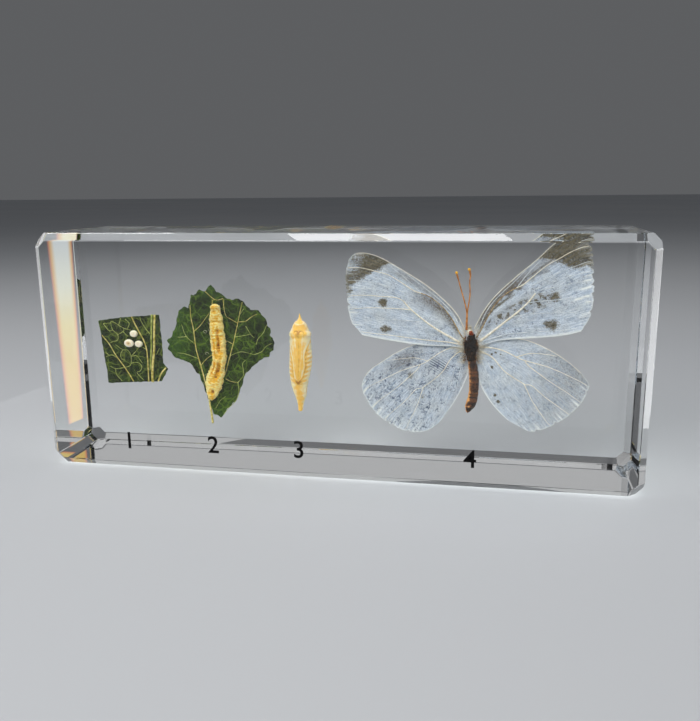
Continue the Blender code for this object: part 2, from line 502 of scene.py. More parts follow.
def cut_leaf_square():
    """A square cut from a leaf, with the midrib near its right edge, side veins and a coarse net."""
    corners = [(-47.8, 27.0), (-43.1, 27.7), (-34.8, 28.4), (-34.6, 22.7), (-34.7, 18.9), (-33.7, 17.6),
               (-35.2, 15.1), (-41.1, 14.8), (-46.5, 14.4), (-46.5, 17.0), (-46.8, 19.2), (-47.2, 24.2)]
    outline = even_line(corners + corners[:1], 360)[:-1]
    outline = np.array([(x + 0.09 * grain(x * 1.2, z * 1.2, 4), z + 0.09 * grain(x * 1.2, z * 1.2, 8))
                        for x, z in outline])

    def wave(x, z):
        return 0.5 * grain(x * 0.16, z * 0.16, 2, 2) + 0.12 * grain(x * 0.8, z * 0.8, 6)

    def surface(x, z):
        return LEAF_DEPTH + wave(x, z)

    bm = bmesh.new()
    bm.loops.layers.uv.new("blade")
    leaf_blade(bm, outline, 0.12, LEAF_DEPTH, [(1.15, 0.16, 0.16, 5.0)], wave,
               lambda x, z: 0.25 * smooth_step(-0.1, 0.5, grain(x * 0.3, z * 0.3, 12)))
    main_veins = [
        ([(-35.7, 28.4), (-36.0, 24.6), (-36.4, 20.7), (-36.9, 17.8), (-37.1, 14.9)], 0.20, 0.27, PALE_RIB),
        ([(-36.3, 28.4), (-36.6, 24.6), (-37.0, 20.7), (-37.4, 17.3)], 0.20, 0.16, GREEN_NET),
        ([(-40.6, 27.9), (-39.9, 26.3), (-39.2, 24.9), (-38.2, 22.8), (-37.8, 20.7), (-37.8, 17.8),
          (-37.9, 14.9)], 0.13, 0.12, PALE_RIB),
        ([(-47.0, 24.1), (-45.6, 22.4), (-44.1, 19.7), (-42.7, 17.7), (-41.0, 14.9)], 0.08, 0.12, PALE_RIB),
        ([(-34.1, 17.9), (-35.1, 16.8), (-35.9, 15.1)], 0.13, 0.15, PALE_RIB),
        ([(-36.9, 24.6), (-37.7, 25.5), (-38.6, 27.0), (-38.8, 27.8)], 0.09, 0.06, GREEN_NET)]
    for points, thick, thin, material in main_veins:
        rib(bm, points, thick, thin, surface, material)
    fine_veins = [
        [(-45.6, 22.5), (-44.8, 22.9), (-43.8, 23.2), (-43.7, 24.3), (-44.7, 25.2), (-45.0, 26.4),
         (-44.7, 26.9), (-42.4, 25.6), (-40.9, 25.2)],
        [(-43.7, 24.3), (-42.6, 24.9), (-42.4, 25.6)], [(-42.6, 24.9), (-41.6, 24.0)],
        [(-46.7, 26.4), (-45.0, 26.6)], [(-46.7, 26.4), (-45.5, 25.1), (-44.7, 25.2)],
        [(-42.7, 17.7), (-41.4, 18.3), (-41.2, 20.0), (-41.5, 20.9), (-42.0, 21.3), (-42.8, 21.3),
         (-44.3, 22.3)],
        [(-42.8, 21.3), (-43.3, 20.5), (-43.2, 19.5), (-42.4, 19.2)],
        [(-41.2, 20.0), (-40.0, 20.1), (-38.9, 18.7)],
        [(-41.3, 18.6), (-40.5, 18.8), (-39.7, 18.7), (-39.1, 18.1), (-39.5, 17.1), (-40.2, 16.7),
         (-38.8, 15.1)],
        [(-42.7, 17.7), (-44.7, 17.4), (-45.9, 17.9)], [(-44.7, 17.4), (-44.6, 16.3), (-43.5, 14.9)],
        [(-44.3, 19.7), (-45.3, 20.2), (-46.5, 19.8)], [(-46.5, 20.7), (-45.8, 20.1)],
        [(-35.9, 20.5), (-35.2, 21.8)], [(-38.0, 21.5), (-39.2, 22.0), (-40.0, 21.2), (-41.2, 20.0)],
        [(-43.4, 26.2), (-42.9, 27.6)], [(-41.7, 25.4), (-41.2, 26.6), (-42.0, 27.4)]]
    for points in fine_veins:
        rib(bm, points, 0.065, 0.05, surface, GREEN_NET, 0.05)
    finished_piece(bm, "cut_leaf_square", [SQUARE_LEAF, LEAF_RIB, GREEN_RIB])
    return surface


def egg(name, x, z, wide, tall, surface, spot):
    """One ribbed egg glued to the leaf, its top towards the front."""
    bm = bmesh.new()
    shade_and_tone_layer = bm.verts.layers.float.new("deep")
    bm.loops.layers.uv.new("shell")
    height = 1.15
    base = surface(x, z) - 0.02

    def shape(vert, u, v):
        turn = 2 * math.pi * v
        climb = math.pi * u
        ribs = 0.025 * math.cos(14 * turn) * math.sin(climb)
        girth = math.sin(climb) ** 0.8 * (1 + ribs)
        dimple = 0.12 * bell(u, 1.0, 0.13)
        rise = 0.5 - 0.5 * math.cos(climb) - dimple
        vert.co = place(x + wide / 2 * girth * math.cos(turn), z + tall / 2 * girth * math.sin(turn),
                        base - height * rise)
        # Painted highlight on the ribs, painted shade between them and towards the foot on the leaf, and spot
        # darkens the dimpled top.
        vert[shade_and_tone_layer] = spot * bell(u, 1.0, 0.11) - 12 * ribs * (1 - u) + 0.25 * (1 - u)
    add_rolled(bm, 36, 56, shape)
    finished_piece(bm, name, [EGG_SHELL])


def whole_leaf():
    """A small lobed leaf with its stalk: two long veins, their branches, a fine net and a toothed edge."""
    shape_points = [(-24.0, 34.3), (-23.6, 33.8), (-23.0, 33.0), (-21.9, 32.5), (-21.2, 31.8), (-20.4, 31.4),
                    (-19.4, 31.6), (-18.3, 31.4), (-17.6, 30.5), (-16.7, 29.6), (-15.1, 29.5), (-14.3, 28.7),
                    (-13.4, 27.5), (-13.4, 26.6), (-12.8, 26.2), (-12.8, 24.8), (-12.1, 23.4), (-12.3, 21.9),
                    (-12.9, 21.4), (-13.2, 20.6), (-14.2, 20.4), (-15.2, 19.7), (-16.8, 18.3), (-17.9, 17.2),
                    (-18.4, 16.4), (-18.8, 14.8), (-19.5, 13.3), (-20.1, 11.7), (-21.2, 10.7), (-22.2, 9.7),
                    (-22.7, 8.7), (-23.2, 8.2), (-23.8, 8.5), (-24.9, 8.8), (-25.1, 10.0), (-26.1, 13.2),
                    (-27.2, 16.5), (-28.1, 17.6), (-28.6, 18.7), (-29.8, 19.3), (-32.2, 19.9), (-33.6, 21.6),
                    (-33.3, 22.4), (-33.7, 23.3), (-32.7, 24.1), (-32.4, 25.1), (-31.7, 26.0), (-31.3, 27.7),
                    (-30.9, 29.1), (-29.6, 30.1), (-28.9, 29.8), (-28.4, 30.8), (-28.1, 32.4), (-27.5, 32.2),
                    (-26.3, 33.4), (-25.2, 33.0), (-24.6, 33.9)]
    smooth = even_line(shape_points + shape_points[:1], 520)[:-1]
    middle = smooth.mean(axis=0)
    outline = []
    for index, (x, z) in enumerate(smooth):
        away = Vector((x - middle[0], z - middle[1])).normalized()
        tooth = 0.14 * (abs(math.sin(index * 0.27 + 1.5 * grain(x * 0.2, z * 0.2, 3))) - 0.5)
        tooth += 0.16 * grain(x * 1.3, z * 1.3, 7)
        outline.append((x + away.x * tooth, z + away.y * tooth))
    outline = np.array(outline)

    def wave(x, z):
        fold = 0.55 * math.sin((x + 22) * 0.33) * smooth_step(8, 26, z)
        return fold + 0.4 * grain(x * 0.17, z * 0.17, 21, 2) + 0.16 * grain(x * 0.7, z * 0.7, 5, 4)

    def surface(x, z):
        return WHOLE_LEAF_DEPTH + wave(x, z)

    def pale(x, z):
        left = smooth_step(-27.5, -31.5, x) if x < -27.5 else 0.0
        tip = bell(x, -24.5, 2.2) * smooth_step(31.0, 33.0, z)
        foot = smooth_step(12.5, 9.5, z) if z < 12.5 else 0.0
        return min(1.0, 0.9 * left + 0.8 * tip + 0.6 * foot + 0.3 * max(0.0, grain(x * 0.4, z * 0.4, 30)))

    bm = bmesh.new()
    bm.loops.layers.uv.new("blade")
    leaf_blade(bm, outline, 0.13, WHOLE_LEAF_DEPTH,
               [(1.9, 0.15, 0.45, 3.0), (0.85, 0.12, 0.20, 11.0)], wave, pale)
    rib(bm, [(-25.1, 6.9), (-25.4, 10.2), (-25.7, 13.2), (-26.7, 18.1), (-27.6, 21.9), (-27.9, 25.2),
             (-28.3, 27.8), (-28.4, 30.4)], 0.19, 0.06, surface, PALE_RIB, 0.1)
    rib(bm, [(-22.6, 16.1), (-21.9, 17.5), (-20.3, 22.7), (-19.3, 26.8), (-18.7, 29.0), (-18.2, 31.0)],
        0.12, 0.045, surface, PALE_RIB)
    rib(bm, [(-24.0, 13.0), (-23.7, 20.0), (-23.6, 26.0), (-23.9, 31.0), (-23.3, 31.6)],
        0.12, 0.05, surface, PALE_RIB)
    branches = [[(-27.9, 25.3), (-26.6, 26.4), (-24.7, 28.8)], [(-26.9, 18.5), (-25.6, 19.9), (-24.4, 20.8)],
                [(-25.2, 33.1), (-23.3, 31.5), (-21.8, 31.7)], [(-21.8, 31.6), (-21.7, 29.4), (-21.4, 28.2)],
                [(-19.2, 26.9), (-21.4, 28.2)], [(-19.1, 27.2), (-17.6, 27.4), (-16.5, 28.2), (-15.3, 28.8)],
                [(-20.2, 22.8), (-21.4, 23.5)], [(-22.0, 16.0), (-21.0, 15.5), (-19.6, 15.3)]]
    for points in branches:
        rib(bm, points, 0.065, 0.04, surface, PALE_RIB, 0.05)
    green = [[(-19.6, 15.3), (-19.5, 13.5), (-20.2, 11.6), (-21.8, 10.0), (-22.8, 8.7)],
             [(-19.6, 15.3), (-18.4, 16.9), (-18.5, 19.0), (-17.9, 19.8)],
             [(-15.7, 22.9), (-15.3, 24.0), (-14.2, 25.2), (-13.4, 26.8)],
             [(-16.2, 20.9), (-14.7, 21.5), (-13.7, 22.6), (-12.6, 23.2)],
             [(-17.7, 26.4), (-16.8, 24.9), (-16.1, 24.2)], [(-19.9, 24.3), (-17.9, 24.6), (-16.8, 24.9)],
             [(-27.7, 22.8), (-29.5, 24.2), (-30.5, 26.5)], [(-27.1, 19.9), (-29.6, 20.7), (-31.6, 20.9)],
             [(-29.5, 24.2), (-31.4, 24.0)], [(-21.0, 20.6), (-18.9, 21.4), (-17.2, 21.2), (-16.2, 20.9)],
             [(-18.9, 28.4), (-17.9, 29.8)], [(-24.3, 10.0), (-23.3, 11.6), (-22.2, 12.4)]]
    for points in green:
        rib(bm, points, 0.07, 0.045, surface, GREEN_NET, 0.05)
    finished_piece(bm, "whole_leaf", [WHOLE_LEAF, LEAF_RIB, GREEN_RIB])
    return surface


# ---------------------------------------------------------------- larva and pupa

def larva(surface):
    """The dried larva on the leaf: flattened, sunken along the middle, wrinkled across its rings."""
    spine = smooth_line([(-23.3, 30.8), (-23.25, 29.8), (-23.2, 27.6), (-23.1, 25.0), (-22.9, 22.0),
                         (-22.9, 19.8), (-23.4, 17.8), (-24.1, 15.6), (-24.6, 13.4), (-24.9, 11.7)], 240)
    half_width = profile([(0.0, 0.75), (0.03, 1.0), (0.08, 1.02), (0.14, 1.25), (0.25, 1.4), (0.38, 1.52),
                          (0.50, 1.42), (0.60, 1.25), (0.68, 1.55), (0.78, 1.7), (0.86, 1.6), (0.93, 1.15),
                          (0.98, 0.65), (1.0, 0.4)])
    bm = bmesh.new()
    shade_and_tone_layer = bm.verts.layers.float.new("deep")
    bm.loops.layers.uv.new("skin")

    def groove(t, across):
        """How deep the sunken middle is, and where the folds beside it stand up."""
        long_fold = bell(across, -0.12 + 0.3 * (t - 0.35), 0.17) * smooth_step(0.22, 0.28, t) \
            * (1 - smooth_step(0.46, 0.53, t))
        low_fold = bell(across, -0.20 + 0.9 * (t - 0.62), 0.22) * smooth_step(0.56, 0.64, t) \
            * (1 - smooth_step(0.72, 0.77, t))
        pit = bell(across, -0.15, 0.16) * bell(t, 0.90, 0.016)
        side_fold = 0.4 * bell(across, 0.52, 0.12) * smooth_step(0.3, 0.4, t) * (1 - smooth_step(0.7, 0.8, t))
        neck = 0.3 * bell(t, 0.075, 0.010) + 0.22 * bell(t, 0.185, 0.010)
        return 0.85 * long_fold + 0.8 * low_fold + 0.9 * pit + side_fold + neck

    def shape(vert, u, v):
        x, z = on_line(spine, u)
        before, after = on_line(spine, u - 0.01), on_line(spine, u + 0.01)
        run = Vector((after[0] - before[0], after[1] - before[1])).normalized()
        out = Vector((-run.y, run.x))
        turn = 2 * math.pi * v
        cap = blunt_ends(u, 0.025, 0.03)
        across, front = math.cos(turn), math.sin(turn)
        rings = math.cos(2 * math.pi * 13 * u + 2.4 * grain(x, z, 3))
        crinkle = grain(across * 1.6 + 5, z * 1.5, front * 1.2, 5)
        fine = grain(x * 3.0, z * 4.2 + 3, front * 3.0, 4)
        lumps = grain(across * 0.8, z * 1.1, 12 + front, 3)
        width = half_width(u) * cap * (1 + 0.03 * rings + 0.10 * lumps + 0.08 * fine)
        sunk = groove(u, -across + 0.15 * grain(z * 0.9, 1.0, 4)) if front > 0 else 0.0
        height = 0.95 * cap * front * (1 + 0.22 * crinkle + 0.12 * fine)
        height -= 0.95 * sunk * max(0.0, front) * cap
        height += 0.03 * rings * max(0.0, front) * cap
        depth = min(surface(x, z) - 0.75 - height, surface(x, z) + 0.06)
        vert.co = place(x + out.x * across * width, z + out.y * across * width, depth)
        # The deep mark: painted shade in the sunken groove, painted highlight on the raised crinkles and
        # towards both sides, a lighter patch low on the body, and faint rings.
        vert[shade_and_tone_layer] = (0.22 + 0.62 * sunk - 0.30 * crinkle - 0.45 * fine - 0.03 * rings
                            - 0.22 * smooth_step(0.3, 0.9, abs(across))
                            - 0.25 * bell(u, 0.68, 0.05) * bell(across, -0.25, 0.3))
    add_rolled(bm, 300, 96, shape)
    silk = []
    for share in (0.16, 0.2, 0.27, 0.31, 0.36, 0.41, 0.47, 0.5, 0.75, 0.79, 0.83):
        x, z = on_line(spine, share)
        x -= half_width(share) * 0.94
        curl = random.uniform(0.25, 0.55)
        lean = random.uniform(0.6, 1.6)
        loop = [place(x - curl * math.sin(step * lean), z + curl * (1 - math.cos(step * lean)) - 0.15,
                      surface(x, z) - 0.4 - 0.1 * step) for step in (0, 0.6, 1.2, 1.8, 2.4)]
        silk.append(loop)
    for x, z in ((-25.55, 25.3), (-25.35, 21.0)):
        silk.append([place(x + 0.32 * math.cos(turn), z + 0.28 * math.sin(turn), surface(x, z) - 0.3)
                     for turn in (0.0, 0.8, 1.6, 2.4, 3.2, 4.0, 4.8, 5.6)])
    add_hairs(bm, silk, 0.035, 1)
    finished_piece(bm, "larva", [LARVA_SKIN, CREAM_DOWN])


def pupa():
    """The pupa, its belly to the front: head horn, wing cases that meet in a V, and the ringed abdomen."""
    top, bottom = 29.2, 10.25
    middle = profile([(10.2, -7.1), (11.3, -7.0), (13.4, -6.95), (15.1, -7.15), (16.9, -7.1), (18.9, -6.9),
                      (20.9, -6.75), (25.4, -6.8), (29.2, -6.8)])
    half_width = profile([(10.25, 0.3), (10.5, 0.46), (11.6, 0.57), (12.6, 0.86), (13.9, 1.27), (15.0, 1.5),
                          (16.0, 1.68), (17.3, 1.93), (18.7, 2.13), (20.7, 2.2), (22.7, 2.07), (24.6, 2.0),
                          (25.2, 2.12), (25.65, 2.05), (26.0, 1.72), (26.4, 1.58), (27.15, 1.28),
                          (27.6, 0.95), (27.85, 0.52), (28.5, 0.22), (29.2, 0.05)])
    left_case = profile([(16.3, 0.0), (16.9, -0.75), (18.4, -1.05), (20.5, -1.4), (22.0, -1.8), (25.2, -2.2)])
    right_case = profile([(16.3, 0.0), (17.0, 0.7), (19.3, 1.15), (21.2, 0.95), (22.5, 1.25), (24.3, 1.95),
                          (25.2, 2.2)])
    bm = bmesh.new()
    shade_and_tone_layer = bm.verts.layers.float.new("deep")
    bm.loops.layers.uv.new("shell")

    def front_relief(side, z):
        """Height and shade of the belly's detail, side millimetres from the middle line. The shade holds
        brown markings, with painted highlight on raised edges and rings and painted shade in the grooves
        beside them.
        """
        height, shade = 0.0, 0.0
        if 15.7 < z < 25.6:
            from_left, from_right = side - left_case(z), right_case(z) - side
            inside = min(from_left, from_right)
            height += 0.20 * smooth_step(-0.08, 0.16, inside) - 0.06
            # Painted highlight just inside the raised wing-case edges and painted shade just outside them.
            shade -= 0.35 * bell(inside, 0.14, 0.12)
            shade += 0.32 * bell(inside, -0.16, 0.16)
            seam = bell(side, -0.03, 0.09) * smooth_step(16.6, 17.4, z) * (1 - smooth_step(24.0, 25.6, z))
            height -= 0.12 * seam
            shade += 0.22 * seam + 0.16 * bell(side, 0.0, 0.7) - 0.10 * bell(z, 24.2, 1.2)
            for drift in (-0.085, 0.075, -0.17):
                line = bell(side, drift * (z - 15.4), 0.07) * smooth_step(17.0, 19.0, z)
                height += 0.05 * line
                shade -= 0.22 * line
        if z >= 24.6:
            brow = bell(math.hypot(abs(side) - 0.48, z - 25.6), 0.42, 0.12) * smooth_step(25.3, 25.8, z)
            face = bell(side, 0.0, 0.7) * bell(z, 25.9, 0.9)
            height -= 0.10 * brow
            shade += 0.42 * brow + 0.30 * face
            height += 0.12 * bell(abs(side), 1.05, 0.35) * bell(z, 26.1, 0.6)
            collar = bell(z, 27.15 + 0.35 * side * side, 0.14)
            height += 0.08 * collar
            shade -= 0.16 * collar
        if z < 17.5:
            ring = math.cos((z - 10.0) * 2 * math.pi / 1.15 + 0.5 * side * side)
            fade = 1 - smooth_step(16.0, 17.5, z)
            height += 0.07 * ring * fade
            shade -= 0.06 * ring * fade
            height -= 0.20 * bell(side, 0.1, 0.35) * bell(z, 15.9, 0.4)
            shade += 0.75 * bell(side, 0.0, 0.45) * bell(z, 16.0 + 0.5 * abs(side), 0.16)
        if 16.0 < z < 22.5:
            for edge, way in ((left_case(z) - side, 1), (side - right_case(z), -1)):
                if edge > 0:
                    fold = math.sin(z * 7.5 + way * side * 2.2)
                    height += 0.06 * fold
                    shade += 0.15 * fold * smooth_step(0.0, 0.25, edge)
        return height, shade

    def shape(vert, u, v):
        z = top + (bottom - top) * u
        turn = 2 * math.pi * v
        closing = 0.0 if u <= 0.0 or u >= 1.0 else 1.0
        width = half_width(z) * closing
        knobs = 0.04 * grain(z * 2.2, 3.0 * math.cos(turn), 5.0, 3)
        deep = 0.86 if z < 18 else 0.86 + 0.08 * smooth_step(18, 23, z)
        side = width * math.cos(turn) * (1 + knobs)
        front = math.sin(turn)
        height, shade = front_relief(side, z) if front > 0 else (0.05 * math.cos(z * 5.4), 0.0)
        crease = grain(side * 1.2, z * 1.1, 8.0 + front, 4)
        height = (height + 0.05 * crease) * abs(front) ** 0.6 * min(1.0, width)
        x = middle(z) + side
        vert.co = place(x, z, PUPA_DEPTH - front * width * deep - math.copysign(height, front))
        # The deep mark: markings and painted shade from front_relief, painted highlight on the raised grain,
        # edge_light painted paler on the sides, and low the paler cream of the lower rings.
        edge_light = 0.24 * smooth_step(0.6, 1.0, abs(math.cos(turn)))
        low = (0.20 - 0.34 * bell(side, 0.0, 0.6)) * (1 - smooth_step(14.0, 19.0, z))
        vert[shade_and_tone_layer] = 0.30 + shade - 0.16 * crease - edge_light - low
    add_rolled(bm, 320, 120, shape)
    finished_piece(bm, "pupa", [PUPA_SHELL])


# ---------------------------------------------------------------- butterfly

def wing_skin(lead, margin, trail):
    """A function from (along, across) to the flat wing. along runs 0 to 1 from the body to the margin, and
    across from the front edge to the hind edge."""
    lead, margin, trail = (smooth_line(points, 160) for points in (lead, margin, trail))

    def skin(along, across):
        base = lead[0] + (trail[0] - lead[0]) * across
        corners = ((1 - along) * (1 - across) * lead[0] + (1 - along) * across * trail[0]
                   + along * (1 - across) * lead[-1] + along * across * trail[-1])
        return ((1 - across) * on_line(lead, along) + across * on_line(trail, along)
                + (1 - along) * base + along * on_line(margin, across) - corners)
    return skin


def wing(name, skin, marks, veins, depth, lift, tears, seed, fringe=0.05, inner_glow=0.7, gleams=()):
    """One wing: a scale-coated membrane with a ragged margin, and its veins standing on both sides."""
    bm = bmesh.new()
    layers = {key: bm.verts.layers.float.new(key) for key in ("soot", "mottle", "dusk", "comb", "rim")}
    bm.loops.layers.uv.new("span")

    def height(along, across):
        x, z = skin(along, across)
        pleat = 0.07 * math.sin(across * 34 + 3 * along) * smooth_step(0.05, 0.3, along)
        return depth - lift * along + 0.28 * grain(x * 0.16, z * 0.16, seed, 2) \
            + 0.10 * grain(x * 0.6, z * 0.6, seed + 4, 2) + pleat * 0.6

    def shape(vert, u, v):
        frayed = fringe * 0.30 * grain(v * 26, 1.0, seed, 3) + fringe * 0.22 * grain(v * 90, 2.0, seed, 2)
        for middle, width, size in tears:
            frayed += size * bell(v, middle, width)
        along = u - max(0.0, frayed) * smooth_step(0.82, 1.0, u)
        x, z = skin(along, v)
        shades = marks(u, v, x, z)
        for key, value in shades.items():
            vert[layers[key]] = value
        # The rim mark: pale fringe scales at the margin, with painted glow along the base, front and hind
        # edges and painted gleams near the margin.
        frost_and_glow = smooth_step(0.88, 0.99, u) * max(0.0, grain(v * 34, u * 2, seed + 2, 2)) * 1.3
        edge = max(0.55 * smooth_step(0.98, 1.0, u), min(0.85, frost_and_glow),
                   inner_glow * smooth_step(0.955, 0.995, v), 0.5 * bell(u, 0.0, 0.05),
                   0.4 * (1 - smooth_step(0.004, 0.016, v)))
        edge *= 1 - 0.7 * min(1.0, shades["soot"])
        for middle, width, start in gleams:
            edge = max(edge, 0.95 * bell(v, middle + 0.01 * grain(u * 9, middle * 50), width)
                       * smooth_step(start, start + 0.04, u) * (1 - smooth_step(0.975, 0.99, u)))
        vert[layers["rim"]] = edge
        vert.co = place(THORAX.x + x, THORAX.y + z, height(along, v))
    add_grid(bm, 170, 130, shape)
    thicken(bm, WING_THICKNESS)
    for points, thick, thin, material in veins:
        track = smooth_line(points, 8 + 7 * len(points))
        line = []
        for along, across in track:
            x, z = skin(along, across)
            line.append(place(THORAX.x + x, THORAX.y + z, height(along, across)))
        add_tube(bm, line, lambda share: thick + (thin - thick) * share ** 0.7, 8, material, 0.9)
    finished_piece(bm, name, [SCALES, CREAM_VEIN, GOLD_VEIN, PALE_VEIN])


CREAM, GOLD, PALE = 1, 2, 3     # the veins' places in a wing's list of materials


def fore_veins(branch):
    """A white's forewing venation in wing coordinates: points, thick, thin, material. The branches take the
    given material."""
    return [
        ([(0.04, 0.78), (0.20, 0.66), (0.34, 0.56), (0.48, 0.45), (0.55, 0.37)], 0.25, 0.12, CREAM),
        ([(0.55, 0.37), (0.61, 0.37), (0.76, 0.44), (0.985, 0.51)], 0.10, 0.045, branch),
        ([(0.48, 0.45), (0.71, 0.56), (0.985, 0.66)], 0.09, 0.04, branch),
        ([(0.34, 0.56), (0.67, 0.69), (0.99, 0.81)], 0.09, 0.04, PALE),
        ([(0.01, 0.86), (0.20, 0.88), (0.44, 0.89), (0.98, 0.95)], 0.13, 0.04, branch),
        ([(0.55, 0.37), (0.55, 0.32), (0.65, 0.34), (0.74, 0.36), (0.98, 0.43)], 0.08, 0.04, PALE),
        ([(0.55, 0.32), (0.53, 0.24), (0.49, 0.17)], 0.05, 0.05, PALE),
        ([(0.53, 0.25), (0.66, 0.27), (0.86, 0.32), (0.98, 0.33)], 0.08, 0.04, PALE),
        ([(0.01, 0.52), (0.07, 0.36), (0.14, 0.23), (0.23, 0.14), (0.34, 0.12), (0.43, 0.15)],
         0.13, 0.09, GOLD),
        ([(0.43, 0.15), (0.49, 0.17), (0.67, 0.14), (0.80, 0.17), (0.985, 0.19)], 0.11, 0.045, CREAM),
        ([(0.43, 0.15), (0.56, 0.08), (0.72, 0.03)], 0.08, 0.04, PALE),
        ([(0.01, 0.30), (0.12, 0.11), (0.24, 0.06), (0.42, 0.05), (0.57, 0.02)], 0.09, 0.045, PALE),
        ([(0.0, 0.0), (0.25, 0.0), (0.5, 0.0), (0.75, 0.0), (0.985, 0.0)], 0.075, 0.045, CREAM)]


def hind_veins(trunk, slim=1.0):
    """The hindwing venation, in the same form. The trunk veins take the given material, and slim scales every
    thickness."""
    veins = [
        ([(0.03, 0.14), (0.18, 0.20), (0.37, 0.27), (0.46, 0.26), (0.64, 0.20), (0.98, 0.13)],
         0.15, 0.045, trunk),
        ([(0.37, 0.27), (0.45, 0.17), (0.53, 0.12), (0.71, 0.03)], 0.09, 0.04, trunk),
        ([(0.45, 0.27), (0.51, 0.30), (0.69, 0.31), (0.89, 0.29), (0.99, 0.28)], 0.10, 0.04, trunk),
        ([(0.03, 0.36), (0.17, 0.42), (0.35, 0.52), (0.56, 0.49), (0.62, 0.45), (0.76, 0.45), (0.99, 0.42)],
         0.15, 0.045, trunk),
        ([(0.56, 0.49), (0.72, 0.56), (0.93, 0.60), (0.99, 0.60)], 0.10, 0.04, trunk),
        ([(0.36, 0.52), (0.48, 0.60), (0.60, 0.65), (0.77, 0.70), (0.99, 0.76)], 0.09, 0.045, PALE),
        ([(0.04, 0.52), (0.23, 0.63), (0.45, 0.76), (0.68, 0.82), (0.96, 0.86)], 0.11, 0.04, PALE),
        ([(0.04, 0.66), (0.28, 0.78), (0.53, 0.90), (0.75, 0.95)], 0.09, 0.035, PALE),
        ([(0.44, 0.28), (0.54, 0.35), (0.61, 0.43)], 0.05, 0.045, PALE),
        ([(0.0, 0.0), (0.25, 0.0), (0.5, 0.0), (0.75, 0.0), (0.985, 0.0)], 0.07, 0.045, CREAM)]
    return [(points, thick * slim, thin * slim, material) for points, thick, thin, material in veins]


def blotches(x, z, size, cover, seed):
    """Scattered patches, size millimetres across, that fill about the given share of the surface."""
    return smooth_step(0.62 - cover, 0.78 - cover, 0.5 + 0.5 * grain(x / size, z / size, seed, 3))


